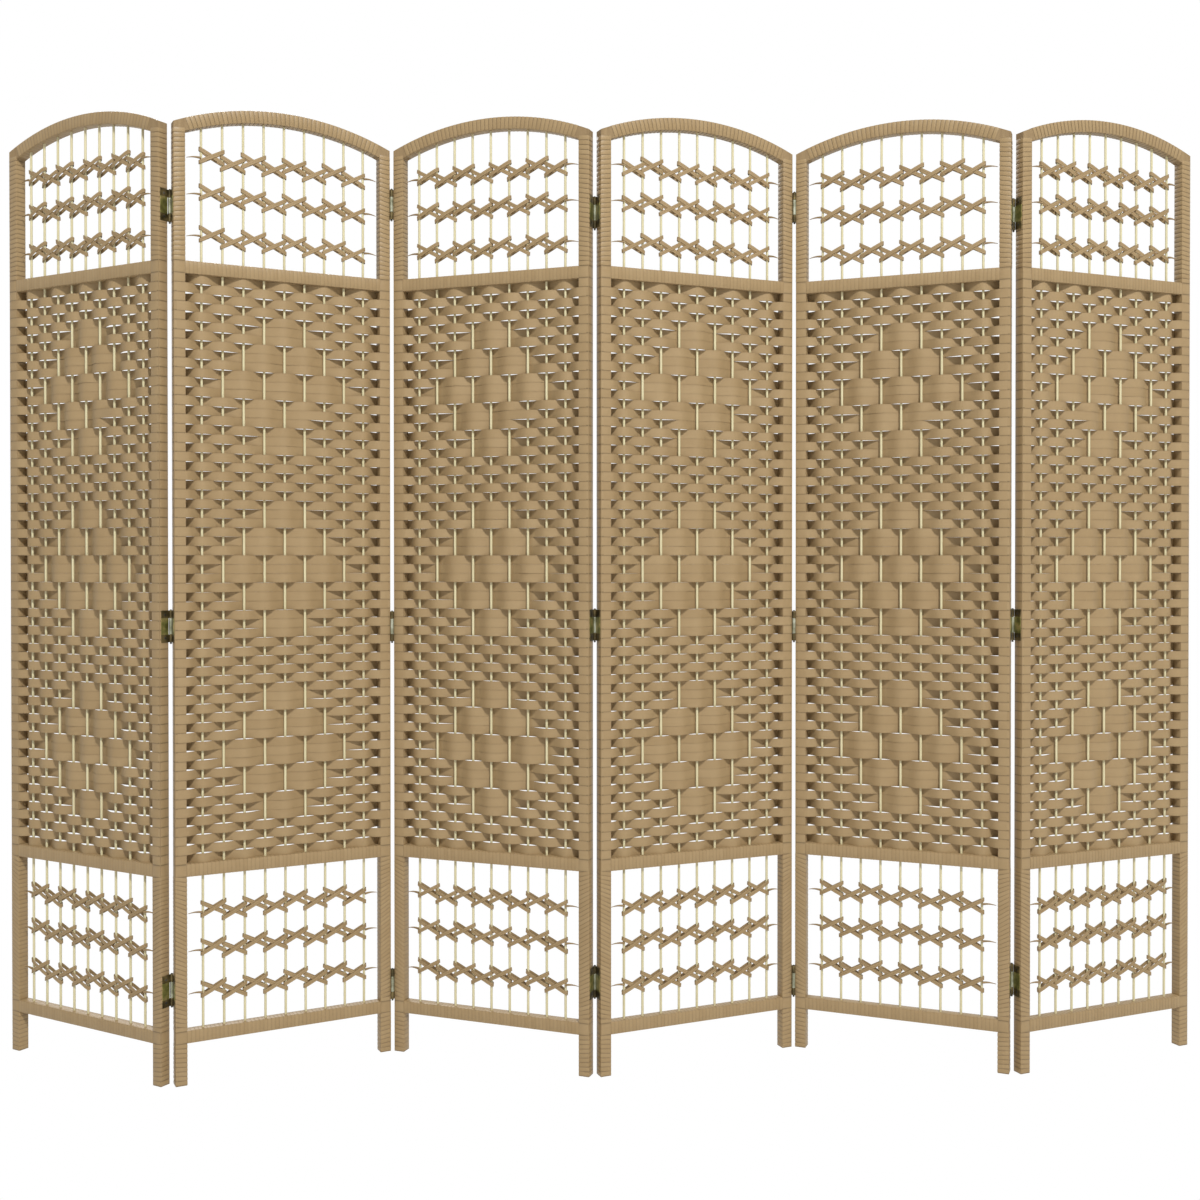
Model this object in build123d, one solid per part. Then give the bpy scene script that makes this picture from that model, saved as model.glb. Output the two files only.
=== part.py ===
from build123d import *
from math import cos, radians, sin, sqrt
import os

# A folding screen of six hinged panels. Each panel is a timber frame with an arched head, nine thin
# rods standing between head and bottom rail, a middle woven of fibre strip with three diamonds, and
# an open lattice window above and below the weave. Millimetres throughout.
# One panel is drawn flat first: x along its width, y from its front face to its back, z up from the
# floor. It is then stood in the zigzag, and the whole is centred on the floor.

# The frame of a panel
panel_count = 6
panel_width = 400.0
frame_depth = 20.0
stile_width = 20.0
rail_height = 22.0
leg_height = 75.0
lower_window_height = 276.0
weave_height = 1054.0
upper_window_height = 245.0
arch_rise = 41.0
arch_rail_depth = 21.5

# The rods
rod_count = 9
rod_diameter = 5.0
rod_sides = 6
rod_edge_gap = 30.0
rod_hole_clearance = 0.15
hole_sides = 4

# The weave: rows of strip, joined into courses so that the six panels stay light
plain_rows = (4, 5, 5, 4)
band_rows = 3
band_reaches = (1, 2, 3, 2, 1)
rows_per_course = 5
strip_thickness = 1.5
strip_bulge = 5.0
course_gap = 0.5

# The lattice rows in the two windows
lattice_rows = 3
lattice_half_rise = 10.0
lattice_strip_width = 5.0
lattice_strip_thickness = 1.6
lattice_rod_clearance = 0.3
lattice_overhang = 4.0
lattice_middle_lift = 4.0
upper_lattice_margins = (47.0, 58.0)
lower_lattice_margins = (64.0, 67.5)

# The hinges, three on each of the five lines where panels meet
hinge_half_gap = 2.0
hinge_axis_offset = 4.0
hinge_height = 57.0
leaf_thickness = 1.5
leaf_width = 17.0
knuckle_radius = 3.2
knuckle_sides = 6
end_knuckle_height = 14.0
knuckle_gap = 0.3
pin_radius = 1.4
pin_bore_clearance = 0.1
pin_overhang = 1.0
ridge_hinge_heights = (168.0, 820.0, 1570.0)
valley_hinge_heights = (129.0, 812.0, 1614.0)

# How far each panel is turned from the long axis of the screen, as it stands
panel_turns = (-29.53, 28.16, -20.54, 23.94, -21.80, 23.41)

# Levels and places that follow from the sizes
bottom_rail_top = leg_height + rail_height
lower_rail_base = bottom_rail_top + lower_window_height
weave_base = lower_rail_base + rail_height
weave_top = weave_base + weave_height
upper_rail_top = weave_top + rail_height
shoulder_height = upper_rail_top + upper_window_height
half_width = panel_width / 2
half_depth = frame_depth / 2
rod_radius = rod_diameter / 2
inner_left = stile_width
inner_right = panel_width - stile_width
arch_radius = (half_width ** 2 + arch_rise ** 2) / (2 * arch_rise)
arch_centre_height = shoulder_height + arch_rise - arch_radius
rod_pitch = (inner_right - inner_left - 2 * rod_edge_gap) / (rod_count - 1)
rod_places = [inner_left + rod_edge_gap + rod_pitch * number for number in range(rod_count)]


def block(x_range, y_range, z_range):
    """A box between two corners."""
    low = [pair[0] for pair in (x_range, y_range, z_range)]
    size = [pair[1] - pair[0] for pair in (x_range, y_range, z_range)]
    return Pos(*low) * Box(*size, align=(Align.MIN, Align.MIN, Align.MIN))


def prism(radius, sides, base, top):
    """An upright prism that stands for a round bar and fits inside it."""
    face = RegularPolygon(radius, sides)
    return Pos(0, 0, base) * extrude(face, top - base)


def hole_cutter(radius, base, top):
    """An upright cutter of few sides that clears a round bar of this radius."""
    return prism(radius / cos(radians(180 / hole_sides)), hole_sides, base, top)


def under_arch(radius):
    """All that lies under a curve drawn about the centre of the arch, as deep as the frame."""
    disc = Pos(half_width, half_depth, arch_centre_height) * Rot(90, 0, 0) * Cylinder(radius, frame_depth)
    return disc + block((0, panel_width), (0, frame_depth), (0, arch_centre_height))


def strip(points, thickness, width):
    """A flat strip on edge: its line is given in plan, its width stands up."""
    near = [(x, y - thickness / 2) for x, y in points]
    far = [(x, y + thickness / 2) for x, y in reversed(points)]
    return extrude(make_face(Polyline(*near, *far, close=True)), width)


def turning_points(points):
    """The points of a line without those in the middle of a straight run."""
    kept = [points[0]]
    for before, point, after in zip(points, points[1:], points[2:]):
        if not before[1] == point[1] == after[1]:
            kept.append(point)
    return kept + [points[-1]]


# The frame: two stiles whose tops are cut to the arch, the arched head between them, three rails
def make_stile(x_range):
    upright = block(x_range, (0, frame_depth), (0, shoulder_height + arch_rise))
    return upright & under_arch(arch_radius)


def make_arch_rail():
    tall_block = block((inner_left, inner_right), (0, frame_depth), (0, shoulder_height + arch_rise))
    return (tall_block & under_arch(arch_radius)) - under_arch(arch_radius - arch_rail_depth)


def make_cross_rails():
    rails = []
    for base in (leg_height, lower_rail_base, weave_top):
        rail = block((inner_left, inner_right), (0, frame_depth), (base, base + rail_height))
        if base > leg_height:
            cutter = hole_cutter(rod_radius + rod_hole_clearance, base, base + rail_height)
            rail = rail - [Pos(place, half_depth, 0) * cutter for place in rod_places]
        rails.append(rail)
    return rails


# The rods: they stand on the bottom rail, pass through two rails and end under the arch
def rod_top(place):
    """Where a rod's outer side meets the underside of the arched head."""
    reach = abs(place - half_width) + rod_radius
    return arch_centre_height + sqrt((arch_radius - arch_rail_depth) ** 2 - reach ** 2)


def make_rods():
    rods = []
    for place in rod_places:
        rod = prism(rod_radius, rod_sides, bottom_rail_top, rod_top(place))
        rods.append(Pos(place, half_depth, 0) * rod)
    return rods


# The weave: rows are counted from the top and rods from the left, both from 1
def band_spans():
    """First row and reach of every band of the diamonds, three rows to a band."""
    spans = []
    row = 1
    for plain in plain_rows[:-1]:
        row = row + plain
        for reach in band_reaches:
            spans.append((row, reach))
            row = row + band_rows
    return spans


def in_front(row, rod):
    """True where a row passes in front of a rod: plain weave, but floats of three rows in a diamond."""
    middle_rod = (rod_count + 1) // 2
    for first_row, reach in band_spans():
        if first_row <= row < first_row + band_rows and abs(rod - middle_rod) <= reach:
            return (first_row + rod) % 2 == 0
    return (row + rod) % 2 == 0


def course_rows():
    """The rows of each course: a band is one course, and plain rows are joined up to the limit."""
    courses = []
    row = 1
    for zone, plain in enumerate(plain_rows):
        end = row + plain
        while row < end:
            joined = min(rows_per_course, end - row)
            courses.append(range(row, row + joined))
            row = row + joined
        if zone < len(plain_rows) - 1:
            for _ in band_reaches:
                courses.append(range(row, row + band_rows))
                row = row + band_rows
    return courses


def make_weave():
    """Courses from stile to stile. Where joined rows disagree, the course lies behind the rod."""
    courses = course_rows()
    row_pitch = weave_height / courses[-1][-1]
    solids = []
    for rows in courses:
        line = [(inner_left, half_depth + strip_bulge)]
        for rod, place in enumerate(rod_places, start=1):
            front = all(in_front(row, rod) for row in rows)
            line.append((place, half_depth - strip_bulge if front else half_depth + strip_bulge))
        line.append((inner_right, half_depth + strip_bulge))
        base = weave_top - rows[-1] * row_pitch
        height = len(rows) * row_pitch - course_gap
        solids.append(Pos(0, 0, base) * strip(turning_points(line), strip_thickness, height))
    return solids


# The lattice: in every row one strip zigzags in front of the rods and one behind them
def lattice_levels():
    levels = []
    windows = (
        (bottom_rail_top, lower_window_height, lower_lattice_margins),
        (upper_rail_top, upper_window_height, upper_lattice_margins),
    )
    for base, height, (margin_below, margin_above) in windows:
        step = (height - margin_below - margin_above) / (lattice_rows - 1)
        for number in range(lattice_rows):
            lift = lattice_middle_lift if 0 < number < lattice_rows - 1 else 0
            levels.append(base + margin_below + number * step + lift)
    return levels


def make_lattice():
    reach = rod_radius + lattice_rod_clearance + lattice_strip_thickness
    first_places = [rod_places[0] - lattice_overhang]
    places = first_places + rod_places[1:-1] + [rod_places[-1] + lattice_overhang]
    solids = []
    for level in lattice_levels():
        for start, face in ((1, half_depth - reach + lattice_strip_thickness), (-1, half_depth + reach)):
            line = [
                (place, start * lattice_half_rise * (-1) ** number)
                for number, place in enumerate(places)
            ]
            flat_strip = strip(line, lattice_strip_width, lattice_strip_thickness)
            solids.append(Pos(0, face, level) * Rot(90, 0, 0) * flat_strip)
    return solids


# The hinges: the leaf lies on the edge of the stile, its knuckles stand clear of the face
def knuckle_spans():
    """Heights of the three knuckles, from the middle of the hinge."""
    end = hinge_height / 2
    inner_end = end - end_knuckle_height
    middle = (-inner_end + knuckle_gap, inner_end - knuckle_gap)
    return ((-end, -inner_end), middle, (inner_end, end))


def make_leaf(knuckles, level):
    """A leaf on a plane edge at x = 0, with the stile behind it at x < 0 and y > 0."""
    plate = block((0, leaf_thickness), (0, leaf_width), (level - hinge_height / 2, level + hinge_height / 2))
    bores = []
    for low, high in knuckles:
        base = level + low
        top = level + high
        tab = block((0, leaf_thickness), (-hinge_axis_offset, 0), (base, top))
        barrel = prism(knuckle_radius, knuckle_sides, base, top)
        plate = plate + tab + Pos(hinge_half_gap, -hinge_axis_offset, 0) * barrel
        bores.append(hole_cutter(pin_radius + pin_bore_clearance, base, top))
    for bore in bores:
        plate = plate - Pos(hinge_half_gap, -hinge_axis_offset, 0) * bore
    return plate


def make_pin(level):
    reach = hinge_height / 2 + pin_overhang
    pin = prism(pin_radius, knuckle_sides, level - reach, level + reach)
    return Pos(hinge_half_gap, -hinge_axis_offset, 0) * pin


# Standing the panels: lines 1, 3 and 5 point at the viewer and have their barrels at the back
def is_ridge(line):
    return line % 2 == 1


def panel_places():
    """The place of each panel: its front left corner and its turn."""
    places = []
    x, y = 0.0, 0.0
    for number, turn in enumerate(panel_turns[:panel_count], start=1):
        places.append((x, y, turn))
        axis_depth = frame_depth + hinge_axis_offset if is_ridge(number) else -hinge_axis_offset
        along = panel_width + hinge_half_gap
        x = x + along * cos(radians(turn)) - axis_depth * sin(radians(turn))
        y = y + along * sin(radians(turn)) + axis_depth * cos(radians(turn))
        if number < panel_count:
            following = radians(panel_turns[number])
            x = x + hinge_half_gap * cos(following) + axis_depth * sin(following)
            y = y + hinge_half_gap * sin(following) - axis_depth * cos(following)
    corners = []
    for left, front, turn in places:
        for along in (0, panel_width):
            for depth in (0, frame_depth):
                corner_x = left + along * cos(radians(turn)) - depth * sin(radians(turn))
                corner_y = front + along * sin(radians(turn)) + depth * cos(radians(turn))
                corners.append((corner_x, corner_y))
    middle_x = (min(corner[0] for corner in corners) + max(corner[0] for corner in corners)) / 2
    middle_y = (min(corner[1] for corner in corners) + max(corner[1] for corner in corners)) / 2
    return [Pos(left - middle_x, front - middle_y, 0) * Rot(0, 0, turn) for left, front, turn in places]


def hinge_solids(line):
    """The left leaves, right leaves and pins of one line, each drawn on its own flat panel."""
    low_knuckle, middle_knuckle, high_knuckle = knuckle_spans()
    levels = ridge_hinge_heights if is_ridge(line) else valley_hinge_heights
    left_leaves = [make_leaf((low_knuckle, high_knuckle), level) for level in levels]
    right_leaves = [mirror(make_leaf((middle_knuckle,), level), Plane.YZ) for level in levels]
    pins = [make_pin(level) for level in levels]
    if is_ridge(line):
        turned = Plane.XZ.offset(-half_depth)
        left_leaves = [mirror(leaf, turned) for leaf in left_leaves]
        right_leaves = [mirror(leaf, turned) for leaf in right_leaves]
        pins = [mirror(pin, turned) for pin in pins]
    shift = Pos(panel_width, 0, 0)
    return [shift * leaf for leaf in left_leaves], right_leaves, [shift * pin for pin in pins]


def save(name, place, solids):
    """One file for one node, its solids set on their panel's place."""
    placed = [place * solid for solid in solids]
    export_step(Compound(children=placed) if len(placed) > 1 else placed[0], f"parts/{name}.step")


os.makedirs("parts", exist_ok=True)
places = panel_places()
flat_panel = {
    "left_stile": [make_stile((0, inner_left))],
    "right_stile": [make_stile((inner_right, panel_width))],
    "arch_rail": [make_arch_rail()],
    "cross_rails": make_cross_rails(),
    "rods": make_rods(),
    "weave": make_weave(),
    "lattice": make_lattice(),
}
for number, place in enumerate(places, start=1):
    for piece, solids in flat_panel.items():
        save(f"panel_{number}_{piece}", place, solids)
for line in range(1, panel_count):
    left_leaves, right_leaves, pins = hinge_solids(line)
    save(f"hinge_{line}_left_leaves", places[line - 1], left_leaves)
    save(f"hinge_{line}_right_leaves", places[line], right_leaves)
    save(f"hinge_{line}_pins", places[line - 1], pins)
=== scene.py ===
from math import asin, cos, pi, radians, sin, sqrt

import bmesh
import bpy
from mathutils import Matrix, Vector


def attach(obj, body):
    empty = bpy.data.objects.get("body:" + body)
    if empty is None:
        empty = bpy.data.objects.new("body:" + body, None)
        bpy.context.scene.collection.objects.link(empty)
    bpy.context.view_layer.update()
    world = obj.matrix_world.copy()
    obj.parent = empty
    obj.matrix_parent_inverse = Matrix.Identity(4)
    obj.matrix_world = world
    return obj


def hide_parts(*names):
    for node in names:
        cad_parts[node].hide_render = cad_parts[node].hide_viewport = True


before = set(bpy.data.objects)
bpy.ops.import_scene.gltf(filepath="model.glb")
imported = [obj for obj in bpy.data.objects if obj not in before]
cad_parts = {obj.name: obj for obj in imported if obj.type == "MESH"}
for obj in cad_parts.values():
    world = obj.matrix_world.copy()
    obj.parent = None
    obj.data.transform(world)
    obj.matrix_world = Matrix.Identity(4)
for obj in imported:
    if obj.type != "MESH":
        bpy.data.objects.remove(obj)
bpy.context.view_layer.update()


# The frame of each panel is timber: two square stiles, an arched head and three cross rails, all bound
# with tan strip so that little of the wood shows. The solids stay as its core, in the tone of the
# strip, and carry the turns of the binding below.
panels = range(1, 7)


def add_node(tree, kind, feeds=None, **settings):
    made = tree.nodes.new(kind)
    for name, value in settings.items():
        setattr(made, name, value)
    for place, value in (feeds or {}).items():
        if isinstance(value, bpy.types.NodeSocket):
            tree.links.new(value, made.inputs[place])
        else:
            made.inputs[place].default_value = value
    return made


def node_out(tree, kind, feeds=None, **settings):
    return add_node(tree, kind, feeds, **settings).outputs[0]


def ramp(tree, factor, stops):
    made = add_node(tree, "ShaderNodeValToRGB", {0: factor})
    elements = made.color_ramp.elements
    while len(elements) < len(stops):
        elements.new(0.5)
    for element, (position, colour) in zip(elements, stops):
        element.position = position
        element.color = colour
    return made.outputs["Color"]


def plain_shader(name, roughness, specular=0.3, metallic=0.0):
    material = bpy.data.materials.new(name)
    material.use_nodes = True
    shader = material.node_tree.nodes["Principled BSDF"]
    shader.inputs["Roughness"].default_value = roughness
    shader.inputs["Specular IOR Level"].default_value = specular
    shader.inputs["Metallic"].default_value = metallic
    return material, material.node_tree, shader


def grain(tree, scale, detail):
    """Streaks that follow the wood, from the piece's own place, x, y and z stretched by scale."""
    place = add_node(tree, "ShaderNodeTexCoord").outputs["Object"]
    stretched = node_out(tree, "ShaderNodeMapping", {"Vector": place, "Scale": scale})
    return node_out(tree, "ShaderNodeTexNoise", {"Vector": stretched, "Scale": 1.0, "Detail": detail})


def core_material():
    material, tree, shader = plain_shader("frame_core_tan", roughness=0.7, specular=0.2)
    noise = grain(tree, (160.0, 160.0, 12.0), detail=4.0)
    colour = ramp(tree, noise, [(0.3, (0.27, 0.185, 0.096, 1)), (0.7, (0.33, 0.232, 0.122, 1))])
    tree.links.new(colour, shader.inputs["Base Color"])
    bump = add_node(tree, "ShaderNodeBump", {"Height": noise, "Strength": 0.3, "Distance": 0.0003})
    tree.links.new(bump.outputs[0], shader.inputs["Normal"])
    return material


core_tan = core_material()
for panel in panels:
    for part in ("left_stile", "right_stile", "arch_rail", "cross_rails"):
        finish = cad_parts[f"panel_{panel}_{part}"].data.materials
        finish.clear()
        finish.append(core_tan)


# The binding: strip wound round every bar, one turn lapped on the next. Beside the windows the turns
# are narrow and lean a little, more in the middle of a run than at its ends, and beside the weave
# there is one wide level turn to each woven row.
panel_width = 0.400
frame_depth = 0.020
stile_width = 0.020
rail_height = 0.022
leg_height = 0.075
lower_rail_base = 0.373
weave_base = lower_rail_base + rail_height
weave_top = 1.449
upper_rail_top = weave_top + rail_height
rail_levels = (leg_height, lower_rail_base, weave_top)
shoulder_height = 1.716
arch_rise = 0.041
arch_rail_depth = 0.0215
arch_radius = ((panel_width / 2) ** 2 + arch_rise ** 2) / (2 * arch_rise)
arch_centre = shoulder_height + arch_rise - arch_radius
row_count = 63
row_pitch = (weave_top - weave_base) / row_count


def calc(tree, operation, *values):
    return add_node(tree, "ShaderNodeMath", dict(enumerate(values)), operation=operation).outputs[0]


def vector(tree, x=0.0, y=0.0, z=0.0):
    return node_out(tree, "ShaderNodeCombineXYZ", {0: x, 1: y, 2: z})


# The tan strip is a matt twisted paper fibre with fine lines along it. Each length differs a little in
# tone from the next. Its pattern follows the strip: the attribute "strip" holds the distance along
# it, the place across it from -1 to 1 and a tone of its own.
def strip_material(name, pale, deep, fibre_lines, edge_shade_depth, fold_shade_depth=0.0, roughness=0.55):
    """Fine fibres along the strip, painted shade at both edges and, if wanted, painted shade in a middle
    fold.
    """
    material, tree, shader = plain_shader(name, roughness, specular=0.3)
    strip = add_node(tree, "ShaderNodeAttribute", attribute_name="strip", attribute_type="GEOMETRY")
    parts = add_node(tree, "ShaderNodeSeparateXYZ", {0: strip.outputs["Vector"]})
    along, across, tone = parts.outputs

    def pattern(along_scale, across_scale, tone_scale, detail):
        place = vector(
            tree, calc(tree, "MULTIPLY", along, along_scale), calc(tree, "MULTIPLY", across, across_scale),
            calc(tree, "MULTIPLY", tone, tone_scale))
        return node_out(tree, "ShaderNodeTexNoise", {
            "Vector": place, "Scale": 1.0, "Detail": detail, "Roughness": 0.6})

    fibres = pattern(24.0, fibre_lines, 37.0, 3.0)
    patches = pattern(16.0, 0.5, 91.0, 2.0)
    mixed = calc(tree, "MULTIPLY_ADD", fibres, 0.45, calc(tree, "MULTIPLY", patches, 0.3))
    mixed = calc(tree, "MULTIPLY_ADD", tone, 0.25, mixed)
    colour = ramp(tree, mixed, [(0.25, deep), (0.75, pale)])
    from_middle = calc(tree, "MINIMUM", calc(tree, "ABSOLUTE", across), 1.0)
    # Painted shade: the strip darkens towards both edges, where it meets the next turn or row, and along a
    # middle fold.
    edge_shade_mask = calc(tree, "POWER", from_middle, 9.0)
    fold_shade_mask = calc(tree, "POWER", calc(tree, "SUBTRACT", 1.0, from_middle), 9.0)
    shade = calc(tree, "SUBTRACT", 1.0, calc(tree, "MULTIPLY", edge_shade_mask, edge_shade_depth))
    shade = calc(tree, "SUBTRACT", shade, calc(tree, "MULTIPLY", fold_shade_mask, fold_shade_depth))
    shaded = add_node(tree, "ShaderNodeVectorMath", {0: colour, 1: shade}, operation="MULTIPLY")
    tree.links.new(shaded.outputs[0], shader.inputs["Base Color"])
    rough = calc(tree, "MULTIPLY_ADD", fibres, 0.25, roughness - 0.12)
    tree.links.new(rough, shader.inputs["Roughness"])
    bump = add_node(tree, "ShaderNodeBump", {"Height": fibres, "Strength": 0.35, "Distance": 0.0004})
    tree.links.new(bump.outputs[0], shader.inputs["Normal"])
    return material


strip_pale = (0.374, 0.264, 0.136, 1)
strip_deep = (0.322, 0.220, 0.107, 1)
# The binding on the stiles and the arch has deep painted shade at the seams between its turns; on the rails
# that painted shade is faint.
bound_tan = strip_material("bound_tan_strip", strip_pale, strip_deep, 7.0, 0.60, roughness=0.42)
level_tan = strip_material("level_bound_tan_strip", strip_pale, strip_deep, 7.0, 0.22, roughness=0.42)


# The six panels stand in a zigzag, each turned about the upright lines of its hinges. Every piece is
# drawn on a flat panel, x along its width, y from its front to its back, z up from the floor, and is
# then stood where its panel stands.
panel_turns = (-29.53, 28.16, -20.54, 23.94, -21.80, 23.41)
knuckle_gap = 0.002
axis_setback = 0.004


def is_ridge(line):
    return line % 2 == 1


def panel_corners():
    corners = []
    x, y = 0.0, 0.0
    for number, turn in enumerate(panel_turns, start=1):
        corners.append((x, y, radians(turn)))
        across = frame_depth + axis_setback if is_ridge(number) else -axis_setback
        along = panel_width + knuckle_gap
        x += along * cos(radians(turn)) - across * sin(radians(turn))
        y += along * sin(radians(turn)) + across * cos(radians(turn))
        if number < len(panel_turns):
            following = radians(panel_turns[number])
            x += knuckle_gap * cos(following) + across * sin(following)
            y += knuckle_gap * sin(following) - across * cos(following)
    return corners


def panel_stands():
    outline = []
    for x, y, turn in panel_corners():
        for along in (0, panel_width):
            for across in (0, frame_depth):
                outline.append((
                    x + along * cos(turn) - across * sin(turn),
                    y + along * sin(turn) + across * cos(turn),
                ))
    middle_x = (min(p[0] for p in outline) + max(p[0] for p in outline)) / 2
    middle_y = (min(p[1] for p in outline) + max(p[1] for p in outline)) / 2
    return {
        number: Matrix.Translation((x - middle_x, y - middle_y, 0)) @ Matrix.Rotation(turn, 4, "Z")
        for number, (x, y, turn) in enumerate(panel_corners(), start=1)
    }


stands = panel_stands()


def new_tree(name, sizes):
    """A geometry tree with a geometry input, named inputs for its sizes and one output."""
    tree = bpy.data.node_groups.new(name, "GeometryNodeTree")
    tree.interface.new_socket("Geometry", in_out="INPUT", socket_type="NodeSocketGeometry")
    for label, kind in sizes.items():
        tree.interface.new_socket(label, in_out="INPUT", socket_type=f"NodeSocket{kind}")
    tree.interface.new_socket("Geometry", in_out="OUTPUT", socket_type="NodeSocketGeometry")
    given = add_node(tree, "NodeGroupInput").outputs
    return tree, given


def end_tree(tree, geometry, material):
    real = node_out(tree, "GeometryNodeRealizeInstances", {0: geometry})
    dressed = node_out(tree, "GeometryNodeSetMaterial", {"Geometry": real, "Material": material})
    add_node(tree, "NodeGroupOutput", {0: dressed})


def put_in_scene(name, mesh):
    piece = bpy.data.objects.new(name, mesh)
    bpy.context.scene.collection.objects.link(piece)
    return piece


def make_piece(name, panel, start_mesh, tree, values, smooth_angle=40):
    """Runs a tree on a flat panel's start mesh and stands the plain mesh that comes out on its panel."""
    worker = put_in_scene(name + "_worker", start_mesh)
    modifier = worker.modifiers.new("shape", "NODES")
    modifier.node_group = tree
    for item in tree.interface.items_tree:
        if item.in_out == "INPUT" and item.name in values:
            modifier[item.identifier] = values[item.name]
    seen = worker.evaluated_get(bpy.context.evaluated_depsgraph_get())
    mesh = bpy.data.meshes.new_from_object(seen)
    bpy.data.objects.remove(worker)
    mesh.name = name
    mesh.transform(stands[panel])
    mesh.shade_smooth()
    mesh.set_sharp_from_angle(angle=radians(smooth_angle))
    piece = put_in_scene(name, mesh)
    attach(piece, f"panel_{panel}")
    return piece


def line_mesh(name, lines):
    """A start mesh: each line of points becomes a run of edges."""
    points, edges = [], []
    for line in lines:
        first = len(points)
        points.extend(line)
        edges.extend((n, n + 1) for n in range(first, len(points) - 1))
    mesh = bpy.data.meshes.new(name)
    mesh.from_pydata(points, edges, [])
    return mesh


def point_place(tree):
    """The x, y and z of each point."""
    position = node_out(tree, "GeometryNodeInputPosition")
    return add_node(tree, "ShaderNodeSeparateXYZ", {0: position}).outputs


def stored(tree, geometry, label, value, domain="POINT", kind="FLOAT"):
    return node_out(tree, "GeometryNodeStoreNamedAttribute", {
        "Geometry": geometry, "Name": label, "Value": value}, data_type=kind, domain=domain)


def recalled(tree, label):
    return node_out(tree, "GeometryNodeInputNamedAttribute", {"Name": label}, data_type="FLOAT")


def with_tone(tree, geometry, seed):
    """Gives every length or turn of strip a tone of its own."""
    tone = add_node(tree, "FunctionNodeRandomValue", {"Seed": seed}, data_type="FLOAT").outputs[1]
    return stored(tree, geometry, "tone", tone, domain="INSTANCE")


def with_strip_attribute(tree, geometry):
    """Joins what a sweep stored on its path, its section and its instance into one attribute."""
    real = node_out(tree, "GeometryNodeRealizeInstances", {0: geometry})
    joined = vector(tree, recalled(tree, "along"), recalled(tree, "across"), recalled(tree, "tone"))
    return stored(tree, real, "strip", joined, kind="FLOAT_VECTOR")


def binding_tree():
    tree, given = new_tree("binding", {
        "Turn Pitch": "Float", "Bar Width": "Float", "Bar Depth": "Float", "Stand Off": "Float",
        "Corner": "Float", "Crown": "Float", "Lap": "Float", "Lean": "Float", "Seed": "Int",
        "Material": "Material"})
    path = node_out(tree, "GeometryNodeMeshToCurve", {0: given["Geometry"]})
    spots = add_node(tree, "GeometryNodeCurveToPoints", {
        "Curve": path, "Length": given["Turn Pitch"]}, mode="LENGTH").outputs
    ring = node_out(tree, "GeometryNodeCurvePrimitiveQuadrilateral", {
        "Width": calc(tree, "MULTIPLY_ADD", given["Stand Off"], 2.0, given["Bar Width"]),
        "Height": calc(tree, "MULTIPLY_ADD", given["Stand Off"], 2.0, given["Bar Depth"])})
    ring = node_out(tree, "GeometryNodeFilletCurve", {
        "Curve": ring, "Count": 2, "Radius": given["Corner"]}, mode="POLY")
    ring = node_out(tree, "GeometryNodeSetCurveNormal", {0: ring}, mode="Z_UP")
    ring = stored(tree, ring, "along", add_node(tree, "GeometryNodeSplineParameter").outputs["Length"])
    section = node_out(tree, "GeometryNodeCurvePrimitiveCircle", {"Resolution": 6, "Radius": 1.0})
    place = point_place(tree)
    rise = calc(tree, "MULTIPLY", place["X"], calc(tree, "MULTIPLY", given["Turn Pitch"], 0.5))
    lapped = calc(tree, "MULTIPLY", place["X"], given["Lap"])
    out = calc(tree, "SUBTRACT", lapped, calc(tree, "MULTIPLY", place["Y"], given["Crown"]))
    section = stored(tree, section, "across", place["X"])
    section = node_out(tree, "GeometryNodeSetPosition", {
        "Geometry": section, "Position": vector(tree, out, rise)})
    turn = node_out(tree, "GeometryNodeCurveToMesh", {"Curve": ring, "Profile Curve": section})
    aligned = node_out(tree, "FunctionNodeAlignRotationToVector", {
        "Vector": spots["Tangent"]}, axis="Z", pivot_axis="Y")
    laid = node_out(tree, "GeometryNodeInstanceOnPoints", {
        "Points": spots["Points"], "Instance": turn, "Rotation": aligned})

    number = node_out(tree, "GeometryNodeInputIndex")
    total = node_out(tree, "GeometryNodeAttributeDomainSize", {0: spots["Points"]}, component="POINTCLOUD")
    share = calc(tree, "DIVIDE", number, calc(tree, "MAXIMUM", total, 1.0))
    swell = calc(tree, "POWER", calc(tree, "SINE", calc(tree, "MULTIPLY", share, pi)), 0.4)
    waver = node_out(tree, "ShaderNodeTexNoise", {
        "W": calc(tree, "MULTIPLY_ADD", number, 0.05, given["Seed"]), "Scale": 1.0, "Detail": 1.0},
        noise_dimensions="1D")
    leaning = calc(tree, "MULTIPLY", swell, given["Lean"])
    slope = calc(tree, "MULTIPLY", leaning, calc(tree, "ADD", waver, 0.5))
    laid = stored(tree, laid, "slope", slope, domain="INSTANCE")
    laid = stored(tree, laid, "middle", point_place(tree)["X"], domain="INSTANCE")
    level = with_strip_attribute(tree, with_tone(tree, laid, given["Seed"]))
    from_middle = calc(tree, "SUBTRACT", point_place(tree)["X"], recalled(tree, "middle"))
    lift = calc(tree, "MULTIPLY", recalled(tree, "slope"), from_middle)
    leant = node_out(tree, "GeometryNodeSetPosition", {"Geometry": level, "Offset": vector(tree, z=lift)})
    end_tree(tree, leant, given["Material"])
    return tree


binding = binding_tree()


def bind(name, panel, line, pitch, bar_width, seed, crown=0.0001, lap=0.0001, lean=0.0, material=bound_tan):
    """Turns of strip round a bar, along its middle line. Crown is how round a turn is across its width."""
    piece = make_piece(name, panel, line_mesh(name, [line]), binding, {
        "Turn Pitch": pitch, "Bar Width": bar_width, "Bar Depth": frame_depth, "Stand Off": 0.0002,
        "Corner": 0.0016, "Crown": crown, "Lap": lap, "Lean": lean, "Seed": seed, "Material": material})


def upright_line(x, low, high):
    return [(x, frame_depth / 2, low), (x, frame_depth / 2, high)]


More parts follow.
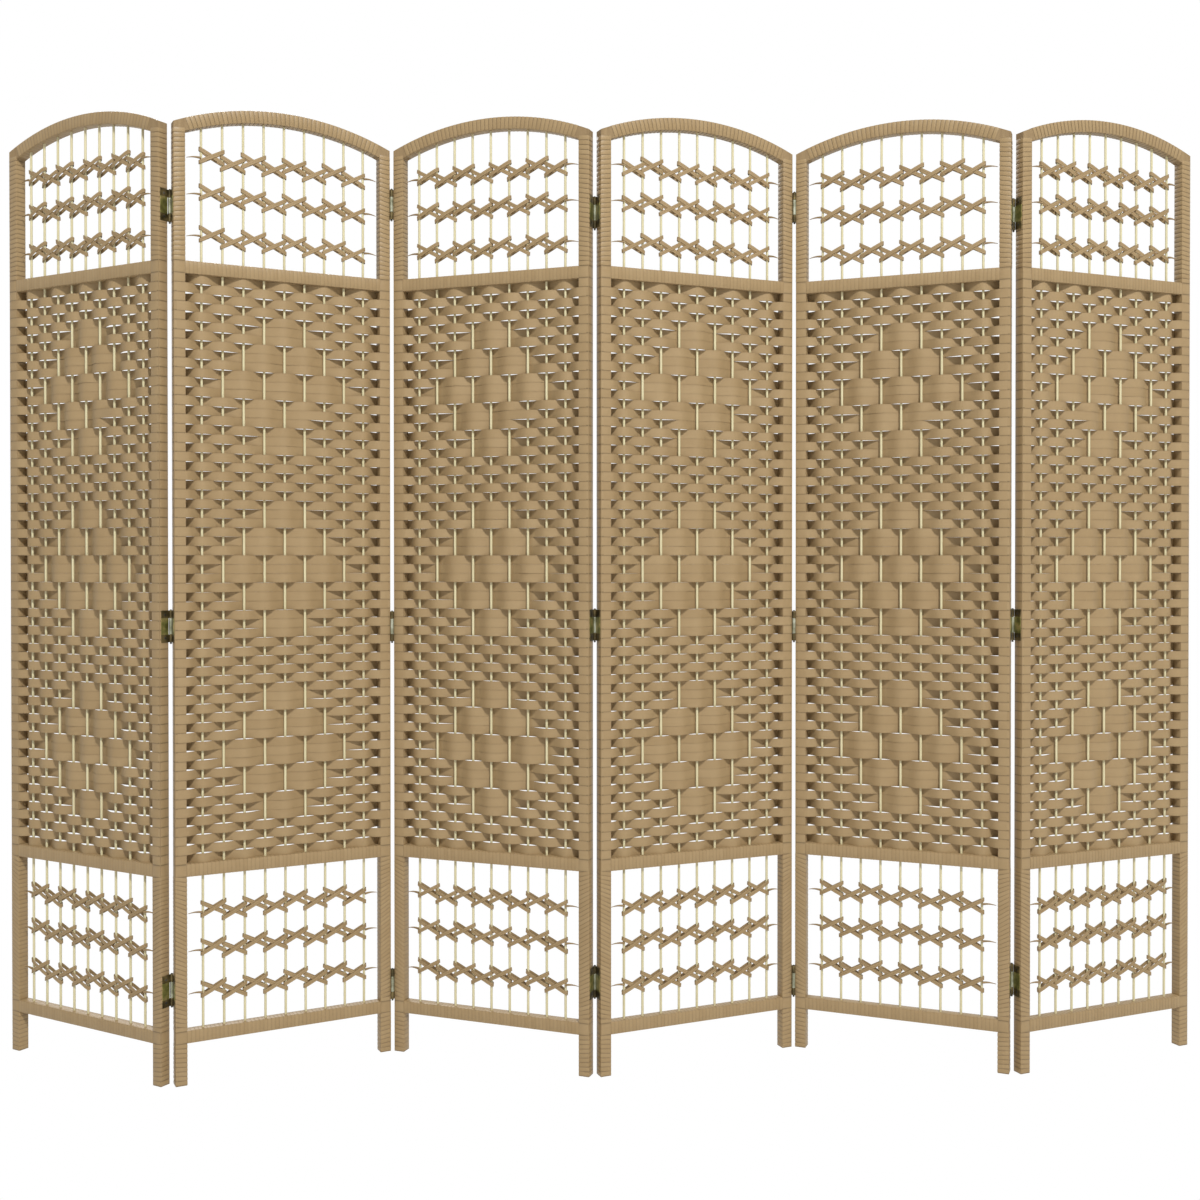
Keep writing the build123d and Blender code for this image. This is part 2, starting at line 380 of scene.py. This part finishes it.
def spaced(low, high, near_pitch):
    """The pitch that fits whole turns into a run, and the first and last turn's middle."""
    turns = max(1, round((high - low) / near_pitch))
    pitch = (high - low) / turns
    return pitch, low + pitch / 2, high - pitch / 2 + pitch * 0.01


stile_runs = (
    ("foot", 0.001, leg_height, 0.0078, 0.12),
    ("lower_window", leg_height + rail_height, lower_rail_base, 0.0078, 0.60),
    ("upper_window", upper_rail_top, shoulder_height - 0.010, 0.0088, -0.20),
)
arch_middle_radius = arch_radius - arch_rail_depth / 2
arch_reach = asin((panel_width / 2 - stile_width - 0.008) / arch_middle_radius)
arch_steps = 24
arch_line = [
    (panel_width / 2 + arch_middle_radius * sin(arch_reach * step / arch_steps), frame_depth / 2,
     arch_centre + arch_middle_radius * cos(arch_reach * step / arch_steps))
    for step in range(-arch_steps, arch_steps + 1)
]
for panel in panels:
    for side, x, turn in (("left", stile_width / 2, -1), ("right", panel_width - stile_width / 2, 1)):
        stile = f"panel_{panel}_{side}_stile"
        for number, (run, low, high, near_pitch, lean) in enumerate(stile_runs):
            pitch, first, last = spaced(low, high, near_pitch)
            bind(f"{stile}_{run}_binding", panel, upright_line(x, first, last), pitch, stile_width,
                 panel * 17 + number * 5 + (side == "left"), crown=0.0005, lap=0.0002, lean=lean * turn)
        row_line = upright_line(x, weave_base + row_pitch / 2, weave_top - row_pitch * 0.49)
        bind(f"{stile}_row_turns", panel, row_line, row_pitch, stile_width, panel * 13 + (side == "left"))
        for level in rail_levels:
            turn_line = upright_line(x, level + rail_height / 2, level + rail_height * 0.51)
            bind(f"{stile}_turn_at_{round(level * 1000)}", panel, turn_line, rail_height, stile_width, panel)
    for level in rail_levels:
        pitch, first, last = spaced(stile_width, panel_width - stile_width, 0.0072)
        middle = level + rail_height / 2
        rail_line = [(first, frame_depth / 2, middle), (last, frame_depth / 2, middle)]
        bind(f"panel_{panel}_rail_binding_at_{round(level * 1000)}", panel, rail_line, pitch, rail_height,
             panel * 7, crown=0.0003, material=level_tan)
    bind(f"panel_{panel}_arch_binding", panel, arch_line, 0.0080, arch_rail_depth, panel * 3,
         crown=0.0005, lap=0.0002)


# The rods: nine peeled cream rods in every panel, standing on the bottom rail, passed through both
# cross rails and let into the arched head. They are smooth and a little uneven in tone.
rod_diameter = 0.0046
rod_pitch = 0.0375
rod_count = 9
first_rod = 0.050
rod_places = [first_rod + rod_pitch * number for number in range(rod_count)]


def rod_material():
    material, tree, shader = plain_shader("peeled_cream_rod", roughness=0.42, specular=0.4)
    noise = grain(tree, (420.0, 420.0, 9.0), detail=3.0)
    colour = ramp(tree, noise, [(0.3, (0.60, 0.54, 0.32, 1)), (0.7, (0.70, 0.64, 0.41, 1))])
    tree.links.new(colour, shader.inputs["Base Color"])
    bump = add_node(tree, "ShaderNodeBump", {"Height": noise, "Strength": 0.2, "Distance": 0.0002})
    tree.links.new(bump.outputs[0], shader.inputs["Normal"])
    return material


def rod_tree():
    tree, given = new_tree("rods", {"Diameter": "Float", "Sides": "Int", "Material": "Material"})
    path = node_out(tree, "GeometryNodeMeshToCurve", {0: given["Geometry"]})
    radius = calc(tree, "MULTIPLY", given["Diameter"], 0.5)
    section = node_out(tree, "GeometryNodeCurvePrimitiveCircle", {
        "Resolution": given["Sides"], "Radius": radius})
    swept = node_out(tree, "GeometryNodeCurveToMesh", {
        "Curve": path, "Profile Curve": section, "Fill Caps": True})
    end_tree(tree, swept, given["Material"])
    return tree


cream = rod_material()
rods = rod_tree()
for panel in panels:
    lines = []
    for place in rod_places:
        from_middle = place - panel_width / 2
        under_arch = arch_centre + sqrt((arch_radius - arch_rail_depth) ** 2 - from_middle ** 2)
        ends = (leg_height + rail_height - 0.001, under_arch + 0.0005)
        lines.append([
            (place, frame_depth / 2, level) for level in (ends[0], lower_rail_base, weave_top, ends[1])])
    piece = make_piece(f"panel_{panel}_round_rods", panel, line_mesh("rod_lines", lines), rods, {
        "Diameter": rod_diameter, "Sides": 14, "Material": cream})
    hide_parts(f"panel_{panel}_rods")


# The weave: sixty-three rows of wide strip run from stile to stile, in front of one rod and behind the
# next, and lie over the front or the back of the stile at their ends. Three rows at a time keep to
# one side within a diamond. In one row of the top diamond the weaver slipped back to plain weave.
row_inset = 0.0012
first_diamond_row = 5
diamond_spacing = 20
band_rows = 3
diamond_bands = 5
slip_row = 15


def is_mirrored(panel):
    """Two panels were woven from the other side, so what is uneven in them lies the other way round."""
    return panel in (4, 6)


def strip_section(tree, width, thickness):
    """A flat oval of eight points: its width stands up and its edges are rounded."""
    ring = node_out(tree, "GeometryNodeCurvePrimitiveCircle", {"Resolution": 8, "Radius": 1.0})
    number = node_out(tree, "GeometryNodeInputIndex")
    angle = calc(tree, "MULTIPLY_ADD", number, pi / 4, pi / 8)
    shares = []
    for wave, flatness in (("SINE", 0.35), ("COSINE", 0.03)):
        value = calc(tree, wave, angle)
        full = calc(tree, "POWER", calc(tree, "ABSOLUTE", value), flatness)
        shares.append(calc(tree, "MULTIPLY", calc(tree, "SIGN", value), full))
    out = calc(tree, "MULTIPLY", shares[0], calc(tree, "MULTIPLY", thickness, 0.51))
    up = calc(tree, "MULTIPLY", shares[1], calc(tree, "MULTIPLY", width, 0.502))
    shaped = node_out(tree, "GeometryNodeSetPosition", {"Geometry": ring, "Position": vector(tree, out, up)})
    return stored(tree, shaped, "across", shares[1])


def weave_tree():
    tree, given = new_tree("weave", {
        "Rows": "Int", "Row Pitch": "Float", "Top": "Float", "Panel Width": "Float",
        "Stile Width": "Float", "Rod Pitch": "Float", "First Rod": "Float", "Half Depth": "Float",
        "Bulge": "Float", "Strip Width": "Float", "Strip Thickness": "Float", "Slip Rod": "Int",
        "Seed": "Int", "Material": "Material"})
    top_row = calc(tree, "MULTIPLY_ADD", given["Row Pitch"], -0.5, given["Top"])
    downwards = calc(tree, "MULTIPLY", given["Row Pitch"], -1.0)
    starts = node_out(tree, "GeometryNodeMeshLine", {
        "Count": given["Rows"], "Start Location": vector(tree, z=top_row),
        "Offset": vector(tree, z=downwards)})
    far_end = calc(tree, "SUBTRACT", given["Panel Width"], row_inset)
    run = node_out(tree, "GeometryNodeCurvePrimitiveLine", {
        "Start": (row_inset, 0, 0), "End": vector(tree, far_end)})
    run = node_out(tree, "GeometryNodeResampleCurve", {"Curve": run, "Count": 79})
    lines = node_out(tree, "GeometryNodeInstanceOnPoints", {"Points": starts, "Instance": run})
    number = node_out(tree, "GeometryNodeInputIndex")
    lines = stored(tree, lines, "row", calc(tree, "ADD", number, 1.0), domain="INSTANCE")
    lines = with_tone(tree, lines, given["Seed"])
    lines = node_out(tree, "GeometryNodeRealizeInstances", {0: lines})

    def clamped(value, low, high):
        return node_out(tree, "ShaderNodeClamp", {"Value": value, "Min": low, "Max": high})

    # Along a row the rods count from 1 to 9, the left stile is 0 and the right stile 10.
    row = recalled(tree, "row")
    x = point_place(tree)["X"]
    last = calc(tree, "SUBTRACT", given["Panel Width"], given["First Rod"])
    gap = calc(tree, "SUBTRACT", given["First Rod"], given["Stile Width"])
    past_first = calc(tree, "SUBTRACT", x, given["First Rod"])
    among = clamped(calc(tree, "DIVIDE", past_first, given["Rod Pitch"]), 0, rod_count - 1)
    before = clamped(calc(tree, "DIVIDE", past_first, gap), -1, 0)
    after = clamped(calc(tree, "DIVIDE", calc(tree, "SUBTRACT", x, last), gap), 0, 1)
    count = calc(tree, "ADD", calc(tree, "ADD", among, before), calc(tree, "ADD", after, 1.0))
    near_rod = calc(tree, "FLOOR", calc(tree, "MINIMUM", count, rod_count + 0.9999))
    share = calc(tree, "SUBTRACT", count, near_rod)

    # A diamond has five bands of three rows, and is widest at its middle band.
    past_diamond_start = calc(tree, "SUBTRACT", row, first_diamond_row)
    in_cycle = calc(tree, "FLOORED_MODULO", past_diamond_start, diamond_spacing)
    in_diamond = calc(tree, "LESS_THAN", in_cycle, band_rows * diamond_bands - 0.5)
    band = calc(tree, "FLOOR", calc(tree, "DIVIDE", calc(tree, "ADD", in_cycle, 0.25), band_rows))
    from_middle_band = calc(tree, "ABSOLUTE", calc(tree, "SUBTRACT", band, (diamond_bands - 1) / 2))
    reach = calc(tree, "SUBTRACT", (diamond_bands + 1) / 2, from_middle_band)
    row_in_band = calc(tree, "SUBTRACT", in_cycle, calc(tree, "MULTIPLY", band, band_rows))
    slips = calc(tree, "COMPARE", row, slip_row, 0.3)

    def depth_at(rod):
        """Where the strip lies at a rod, before its middle line where the sum of row and rod is even."""
        from_middle = calc(tree, "ABSOLUTE", calc(tree, "SUBTRACT", rod, (rod_count + 1) / 2))
        within = calc(tree, "LESS_THAN", from_middle, calc(tree, "ADD", reach, 0.5))
        slipped = calc(tree, "MULTIPLY", slips, calc(tree, "COMPARE", rod, given["Slip Rod"], 0.3))
        in_band = calc(tree, "MULTIPLY", in_diamond, within)
        floats = calc(tree, "MULTIPLY", in_band, calc(tree, "SUBTRACT", 1.0, slipped))
        held_back = calc(tree, "MULTIPLY", row_in_band, floats)
        counted = calc(tree, "SUBTRACT", calc(tree, "ADD", row, rod), held_back)
        behind = calc(tree, "FLOORED_MODULO", calc(tree, "ROUND", counted), 2.0)
        side = calc(tree, "MULTIPLY_ADD", behind, 2.0, -1.0)
        spot = calc(tree, "MULTIPLY_ADD", row, 16.0, rod)
        uneven = add_node(tree, "FunctionNodeRandomValue", {
            "Min": 0.90, "Max": 1.06, "ID": spot, "Seed": given["Seed"]}, data_type="FLOAT").outputs[1]
        at_stile = calc(tree, "GREATER_THAN", from_middle, rod_count / 2)
        bulge = calc(tree, "MULTIPLY", given["Bulge"], uneven)
        over_stile = calc(tree, "SUBTRACT", given["Half Depth"], 0.0002)
        extra = calc(tree, "MULTIPLY", at_stile, calc(tree, "SUBTRACT", over_stile, bulge))
        return calc(tree, "MULTIPLY", side, calc(tree, "ADD", bulge, extra))

    near = depth_at(near_rod)
    far = depth_at(calc(tree, "ADD", near_rod, 1.0))
    eased = calc(tree, "MULTIPLY_ADD", calc(tree, "COSINE", calc(tree, "MULTIPLY", share, pi)), -0.5, 0.5)
    depth = calc(tree, "ADD", near, calc(tree, "MULTIPLY", calc(tree, "SUBTRACT", far, near), eased))
    from_edge = calc(tree, "MINIMUM", x, calc(tree, "SUBTRACT", given["Panel Width"], x))
    at_edge = calc(tree, "LESS_THAN", from_edge, 0.0030)
    tucked = calc(tree, "SUBTRACT", 1.0, calc(tree, "MULTIPLY", at_edge, 0.12))
    back = calc(tree, "ADD", calc(tree, "MULTIPLY", depth, tucked), given["Half Depth"])
    woven = node_out(tree, "GeometryNodeSetPosition", {"Geometry": lines, "Offset": vector(tree, y=back)})
    woven = node_out(tree, "GeometryNodeSetCurveNormal", {0: woven}, mode="Z_UP")
    woven = stored(tree, woven, "along", add_node(tree, "GeometryNodeSplineParameter").outputs["Length"])
    section = strip_section(tree, given["Strip Width"], given["Strip Thickness"])
    swept = node_out(tree, "GeometryNodeCurveToMesh", {
        "Curve": woven, "Profile Curve": section, "Fill Caps": True})
    end_tree(tree, with_strip_attribute(tree, swept), given["Material"])
    return tree


# The woven rows carry a thin line of painted shade along both edges, between one row and the next.
woven_tan = strip_material("woven_tan_strip", strip_pale, strip_deep, 16.0, 0.16)
weave = weave_tree()
for panel in panels:
    piece = make_piece(f"panel_{panel}_woven_rows", panel, bpy.data.meshes.new("weave_start"), weave, {
        "Rows": row_count, "Row Pitch": row_pitch, "Top": weave_top, "Panel Width": panel_width,
        "Stile Width": stile_width, "Rod Pitch": rod_pitch, "First Rod": first_rod,
        "Half Depth": frame_depth / 2, "Bulge": 0.0066, "Strip Width": row_pitch - 0.00005,
        "Strip Thickness": 0.0015, "Slip Rod": 3 if is_mirrored(panel) else 7,
        "Seed": panel * 11, "Material": woven_tan}, smooth_angle=28)
    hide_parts(f"panel_{panel}_weave")


# The lattice: in each window three rows of crosses, each made of two flat loops of rolled strip passed
# round a pair of neighbouring rods, one leaning each way. Crosses stand higher and lower by turns, and
# a thin tail runs from the outer rods to the stile.
lattice_levels = (0.161, 0.237, 0.3055, 1.518, 1.5925, 1.658)
upper_lift = 0.005
lower_drop = -0.004
tail_radius = 0.0023
tail_length = 0.025
tail_steps = 7


def lattice_tree():
    tree, given = new_tree("lattice", {
        "Rod Pitch": "Float", "Reach": "Float", "Bulge": "Float", "Rise": "Float", "Overlap": "Float",
        "Strip Width": "Float", "Strip Thickness": "Float", "Seed": "Int", "Material": "Material"})
    half_long = calc(tree, "MULTIPLY_ADD", given["Rod Pitch"], 0.5, given["Reach"])
    spots = node_out(tree, "GeometryNodeMeshToPoints", {"Mesh": given["Geometry"]})
    joined = add_node(tree, "GeometryNodeJoinGeometry")
    for lean in (1.0, -1.0):
        ring = node_out(tree, "GeometryNodeCurvePrimitiveCircle", {"Resolution": 22, "Radius": 1.0})
        place = point_place(tree)
        x = calc(tree, "MULTIPLY", place["X"], half_long)
        to_end = calc(tree, "SUBTRACT", 1.0, calc(tree, "ABSOLUTE", place["X"]))
        aside = calc(tree, "MULTIPLY", to_end, given["Overlap"])
        round_rod = calc(tree, "POWER", calc(tree, "ABSOLUTE", place["Y"]), 0.6)
        flat_y = calc(tree, "MULTIPLY", calc(tree, "SIGN", place["Y"]), round_rod)
        y = calc(tree, "MULTIPLY_ADD", flat_y, given["Bulge"], calc(tree, "MULTIPLY", aside, -lean))
        slope = calc(tree, "DIVIDE", calc(tree, "MULTIPLY", given["Rise"], lean), given["Rod Pitch"])
        loop = node_out(tree, "GeometryNodeSetPosition", {
            "Geometry": ring, "Position": vector(tree, x, y, calc(tree, "MULTIPLY", x, slope))})
        loop = node_out(tree, "GeometryNodeSetCurveNormal", {0: loop}, mode="Z_UP")
        loop = stored(tree, loop, "along", add_node(tree, "GeometryNodeSplineParameter").outputs["Length"])
        section = strip_section(tree, given["Strip Width"], given["Strip Thickness"])
        band = node_out(tree, "GeometryNodeCurveToMesh", {"Curve": loop, "Profile Curve": section})
        laid = node_out(tree, "GeometryNodeInstanceOnPoints", {"Points": spots, "Instance": band})
        tree.links.new(with_tone(tree, laid, given["Seed"]), joined.inputs[0])
    end_tree(tree, with_strip_attribute(tree, joined.outputs[0]), given["Material"])
    return tree


def make_tails(name, panel):
    """Tapered ends of the rolled strip, from the outer rods nearly to the stiles."""
    curve = bpy.data.curves.new(name, "CURVE")
    curve.dimensions = "3D"
    curve.bevel_depth = tail_radius
    curve.bevel_resolution = 1
    curve.use_fill_caps = True
    for level in lattice_levels:
        for side, rod in ((-1, rod_places[0]), (1, rod_places[-1])):
            spline = curve.splines.new("POLY")
            spline.points.add(tail_steps - 1)
            for step, point in enumerate(spline.points):
                share = step / (tail_steps - 1)
                point.co = (
                    rod + side * (0.001 + tail_length * share), frame_depth / 2 - 0.0042 * (1 - share),
                    level + 0.0015 * sin(share * pi) - 0.0012 * share, 1)
                point.radius = 1.0 - 0.80 * share
    worker = put_in_scene(name + "_worker", curve)
    mesh = bpy.data.meshes.new_from_object(worker.evaluated_get(bpy.context.evaluated_depsgraph_get()))
    bpy.data.objects.remove(worker)
    mesh.transform(stands[panel])
    mesh.shade_smooth()
    mesh.materials.clear()
    mesh.materials.append(core_tan)
    piece = put_in_scene(name, mesh)
    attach(piece, f"panel_{panel}")


# The rolled strip of the lattice has painted shade at its edges and along its middle fold.
rolled_tan = strip_material("rolled_tan_strip", strip_pale, strip_deep, 5.0, 0.30, fold_shade_depth=0.35)
lattice = lattice_tree()
for panel in panels:
    crosses = []
    for level in lattice_levels:
        for gap in range(rod_count - 1):
            is_upper = (gap % 2 == 0) != is_mirrored(panel)
            lift = upper_lift if is_upper else lower_drop
            crosses.append((first_rod + rod_pitch * (gap + 0.5), frame_depth / 2, level + lift))
    spots = bpy.data.meshes.new("cross_spots")
    spots.from_pydata(crosses, [], [])
    piece = make_piece(f"panel_{panel}_lattice_crosses", panel, spots, lattice, {
        "Rod Pitch": rod_pitch, "Reach": 0.0040, "Bulge": 0.0054, "Rise": 0.0200, "Overlap": 0.0007,
        "Strip Width": 0.0067, "Strip Thickness": 0.0009, "Seed": panel * 5, "Material": rolled_tan})
    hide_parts(f"panel_{panel}_lattice")
    make_tails(f"panel_{panel}_lattice_tails", panel)


# The hinges: three small brass butts on every line where panels meet, dulled to olive and brown. Each
# leaf is screwed to the outer face of a stile and curls round a dark pin that stands clear of the frame.
hinge_height = 0.057
leaf_thickness = 0.0015
leaf_width = 0.017
knuckle_radius = 0.0032
end_knuckle = 0.014
browned_end = 0.0135
knuckle_rim = 0.0004
knuckle_play = 0.0003
screw_rise = 0.0205
screw_depth = 0.0085
hinge_lines = range(1, 6)
ridge_levels = (0.168, 0.820, 1.570)
valley_levels = (0.129, 0.812, 1.614)


def brass_material(name, tones, roughness, metallic=0.6):
    material, tree, shader = plain_shader(name, roughness, specular=0.5, metallic=metallic)
    place = add_node(tree, "ShaderNodeTexCoord").outputs["Object"]
    patches = node_out(tree, "ShaderNodeTexNoise", {"Vector": place, "Scale": 70.0, "Detail": 2.0})
    specks = node_out(tree, "ShaderNodeTexNoise", {"Vector": place, "Scale": 700.0, "Detail": 3.0})
    mixed = calc(tree, "MULTIPLY_ADD", specks, 0.2, calc(tree, "MULTIPLY", patches, 0.8))
    colour = ramp(tree, mixed, list(zip((0.36, 0.5, 0.64), tones)))
    tree.links.new(colour, shader.inputs["Base Color"])
    rough = calc(tree, "MULTIPLY_ADD", mixed, 0.4, roughness - 0.2)
    tree.links.new(rough, shader.inputs["Roughness"])
    bump = add_node(tree, "ShaderNodeBump", {"Height": specks, "Strength": 0.2, "Distance": 0.0002})
    tree.links.new(bump.outputs[0], shader.inputs["Normal"])
    return material


olive_brass = brass_material(
    "olive_aged_brass", ((0.13, 0.12, 0.035, 1), (0.22, 0.21, 0.06, 1), (0.40, 0.31, 0.12, 1)), 0.40)
worn_brass = brass_material(
    "worn_grey_barrel", ((0.22, 0.22, 0.14, 1), (0.34, 0.35, 0.25, 1), (0.50, 0.51, 0.40, 1)), 0.38)
brown_brass = brass_material(
    "browned_brass", ((0.05, 0.04, 0.015, 1), (0.10, 0.075, 0.03, 1), (0.20, 0.15, 0.06, 1)), 0.40)
dark_steel = brass_material(
    "dark_pin_steel", ((0.02, 0.018, 0.015, 1), (0.05, 0.045, 0.035, 1), (0.12, 0.11, 0.09, 1)), 0.36)


def add_box(bm, low, high):
    made = bmesh.ops.create_cube(bm, size=1.0)["verts"]
    for vert in made:
        vert.co = Vector([low[n] + (vert.co[n] + 0.5) * (high[n] - low[n]) for n in range(3)])
    return made


def add_turned(bm, outline, centre, sides=16):
    """A solid turned about an upright line through centre, from (radius, height) pairs."""
    rings = []
    for radius, height in outline:
        rings.append([
            bm.verts.new((centre[0] + radius * cos(2 * pi * n / sides),
                          centre[1] + radius * sin(2 * pi * n / sides), centre[2] + height))
            for n in range(sides)
        ])
    for low, high in zip(rings, rings[1:]):
        for n in range(sides):
            bm.faces.new((low[n], low[(n + 1) % sides], high[(n + 1) % sides], high[n]))
    bm.faces.new(list(reversed(rings[0])))
    bm.faces.new(rings[-1])


def plain_mesh(bm, name):
    bmesh.ops.recalc_face_normals(bm, faces=bm.faces)
    mesh = bpy.data.meshes.new(name)
    bm.to_mesh(mesh)
    bm.free()
    return mesh


def leaf_mesh(spans, levels, outward):
    """Leaves on a stile's outer face at x = 0. The barrel stands before the front face, at y < 0.
    Faces of the second slot are the ends of each leaf, browned round the screws, and of the third
    its knuckles."""
    bm = bmesh.new()
    face_out = outward * leaf_thickness
    for level in levels:
        half = hinge_height / 2
        brown = half - browned_end
        for slot, low, high in ((1, -half, -brown), (0, -brown, brown), (1, brown, half)):
            made = add_box(bm, (0, 0.0004, level + low), (face_out, leaf_width, level + high))
            for face in {face for vert in made for face in vert.link_faces}:
                face.material_index = slot
        for low, high in spans:
            known = set(bm.faces)
            add_box(bm, (0, 0.001 - axis_setback, level + low), (face_out, 0.001, level + high))
            barrel = [
                (knuckle_radius - knuckle_rim, low), (knuckle_radius, low + knuckle_rim),
                (knuckle_radius, high - knuckle_rim), (knuckle_radius - knuckle_rim, high)]
            add_turned(bm, barrel, (outward * knuckle_gap, -axis_setback, level))
            for face in set(bm.faces) - known:
                face.material_index = 2
    return plain_mesh(bm, "leaves")


def screw_mesh(outward):
    """One countersunk screw head, a little domed so that two leaves still close on each other. It faces
    along x and is drawn about the origin."""
    bm = bmesh.new()
    dome = [(0.0014, -0.0007), (0.0023, 0.0), (0.0020, 0.00018), (0.0012, 0.00034), (0.0004, 0.0004)]
    add_turned(bm, dome, (0, 0, 0), sides=12)
    bmesh.ops.rotate(bm, verts=bm.verts, matrix=Matrix.Rotation(outward * pi / 2, 3, "Y"))
    return plain_mesh(bm, "screw")


def pin_mesh(levels):
    """A pin with a turned button below the barrel and a flat head on it."""
    bm = bmesh.new()
    half = hinge_height / 2
    button = [
        (0.0004, -half - 0.0034), (0.0016, -half - 0.0029), (0.0021, -half - 0.0017),
        (0.0016, -half - 0.0006)]
    shank = [(0.0014, -half), (0.0014, half)]
    head = [(0.0020, half + 0.0004), (0.0020, half + 0.0010), (0.0012, half + 0.0016)]
    for level in levels:
        add_turned(bm, button + shank + head, (knuckle_gap, -axis_setback, level), sides=14)
    return plain_mesh(bm, "pins")


def place_hinge_part(name, mesh, line, side, materials, node, round_edges=0.0):
    """Stands a part on the panel at its side of a hinge line, and turns it over where the panels make
    a ridge, because its barrel is then at the back."""
    panel = line if side == "left" else line + 1
    if is_ridge(line):
        mesh.transform(Matrix.Translation((0, frame_depth, 0)) @ Matrix.Scale(-1, 4, (0, 1, 0)))
        mesh.flip_normals()
    if side == "left":
        mesh.transform(Matrix.Translation((panel_width, 0, 0)))
    mesh.transform(stands[panel])
    for material in materials:
        mesh.materials.append(material)
    mesh.name = name
    piece = put_in_scene(name, mesh)
    if round_edges:
        bevel = piece.modifiers.new("rounded", "BEVEL")
        bevel.width = round_edges
        bevel.segments = 2
        bevel.limit_method = "ANGLE"
    mesh.shade_smooth()
    mesh.set_sharp_from_angle(angle=radians(35))
    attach(piece, f"panel_{panel}")
    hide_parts(node)


def screw_tree():
    tree, given = new_tree("screws", {"Screw": "Object", "Material": "Material"})
    spots = node_out(tree, "GeometryNodeMeshToPoints", {"Mesh": given["Geometry"]})
    shape = add_node(tree, "GeometryNodeObjectInfo", {"Object": given["Screw"]}).outputs["Geometry"]
    laid = node_out(tree, "GeometryNodeInstanceOnPoints", {"Points": spots, "Instance": shape})
    end_tree(tree, laid, given["Material"])
    return tree


screws = screw_tree()
half_hinge = hinge_height / 2
inner = half_hinge - end_knuckle
end_spans = ((-half_hinge, -inner), (inner, half_hinge))
middle_spans = ((-inner + knuckle_play, inner - knuckle_play),)
for line in hinge_lines:
    levels = ridge_levels if is_ridge(line) else valley_levels
    place_hinge_part(
        f"hinge_{line}_left_leaf_plates", leaf_mesh(end_spans, levels, 1), line, "left",
        (olive_brass, brown_brass, brown_brass), f"hinge_{line}_left_leaves", 0.0003)
    place_hinge_part(
        f"hinge_{line}_right_leaf_plates", leaf_mesh(middle_spans, levels, -1), line, "right",
        (olive_brass, brown_brass, worn_brass), f"hinge_{line}_right_leaves", 0.0003)
    place_hinge_part(
        f"hinge_{line}_turned_pins", pin_mesh(levels), line, "left",
        (dark_steel,), f"hinge_{line}_pins")
    for side, outward, panel, edge in (("left", 1, line, panel_width), ("right", -1, line + 1, 0)):
        model = put_in_scene("screw_model", screw_mesh(outward))
        x = edge + outward * leaf_thickness
        y = frame_depth - screw_depth if is_ridge(line) else screw_depth
        start = bpy.data.meshes.new("screw_spots")
        spots = [(x, y, level + rise) for level in levels for rise in (-screw_rise, screw_rise)]
        start.from_pydata(spots, [], [])
        piece = make_piece(f"hinge_{line}_{side}_screws", panel, start, screws, {
            "Screw": model, "Material": dark_steel})
        bpy.data.objects.remove(model)


# The scene: a plain pale floor, soft studio light and the camera of the photograph.
def background_rays(tree):
    """1 for the rays that show the background: the camera's own, reflected and refracted ones."""
    rays = add_node(tree, "ShaderNodeLightPath").outputs
    mirrored = calc(tree, "MAXIMUM", rays["Is Glossy Ray"], rays["Is Transmission Ray"])
    return calc(tree, "MAXIMUM", rays["Is Camera Ray"], mirrored)


floor_mesh = bpy.data.meshes.new("floor")
floor_mesh.from_pydata([(-9, -7, 0), (9, -7, 0), (9, 9, 0), (-9, 9, 0)], [], [(0, 1, 2, 3)])
floor = put_in_scene("floor", floor_mesh)
floor_white, floor_nodes, floor_shader = plain_shader("floor_white", roughness=0.9, specular=0.0)
floor_shader.inputs["Base Color"].default_value = (0.9, 0.9, 0.9, 1)
rays = background_rays(floor_nodes)
glow = node_out(floor_nodes, "ShaderNodeEmission", {"Color": (1, 1, 1, 1), "Strength": 1.0})
mixed = node_out(floor_nodes, "ShaderNodeMixShader", {0: rays, 1: floor_shader.outputs[0], 2: glow})
floor_nodes.links.new(mixed, floor_nodes.nodes["Material Output"].inputs["Surface"])
floor_mesh.materials.append(floor_white)

world = bpy.data.worlds.new("studio")
bpy.context.scene.world = world
world.use_nodes = True
sky = world.node_tree
background = sky.nodes["Background"]
background.inputs["Color"].default_value = (1.0, 1.0, 1.0, 1)
strength = calc(sky, "MULTIPLY_ADD", background_rays(sky), 0.60, 0.40)
sky.links.new(strength, background.inputs["Strength"])


def area_light(name, place, target, size, power):
    lamp = bpy.data.lights.new(name, "AREA")
    lamp.shape = "SQUARE"
    lamp.size = size
    lamp.energy = power
    holder = bpy.data.objects.new(name, lamp)
    bpy.context.scene.collection.objects.link(holder)
    holder.location = place
    holder.rotation_euler = (Vector(target) - Vector(place)).to_track_quat("-Z", "Y").to_euler()


area_light("key", (1.90, -6.10, 7.0), (0, 0, 0.9), 0.8, 620)
area_light("rear", (-2.5, 6.0, 5.0), (0, 0, 0.9), 2.0, 160)

# The camera's place, tilt and lens were solved from the photograph, whose side is 1200 pixels.
photo_side = 1200
focal_pixels = 1422.3
shift_right_pixels = -17.3
shift_up_pixels = -28.0
camera_place = (0.02835, -2.64364, 0.9393)
camera_tilt = 90 - 0.502
lens = bpy.data.cameras.new("camera")
lens.sensor_width = 36.0
lens.lens = focal_pixels / photo_side * lens.sensor_width
lens.shift_x = shift_right_pixels / photo_side
lens.shift_y = shift_up_pixels / photo_side
lens.clip_end = 50.0
camera = bpy.data.objects.new("camera", lens)
bpy.context.scene.collection.objects.link(camera)
camera.location = camera_place
camera.rotation_euler = (radians(camera_tilt), 0, 0)
bpy.context.scene.camera = camera
bpy.context.scene.view_settings.view_transform = "Standard"

bpy.context.view_layer.update()
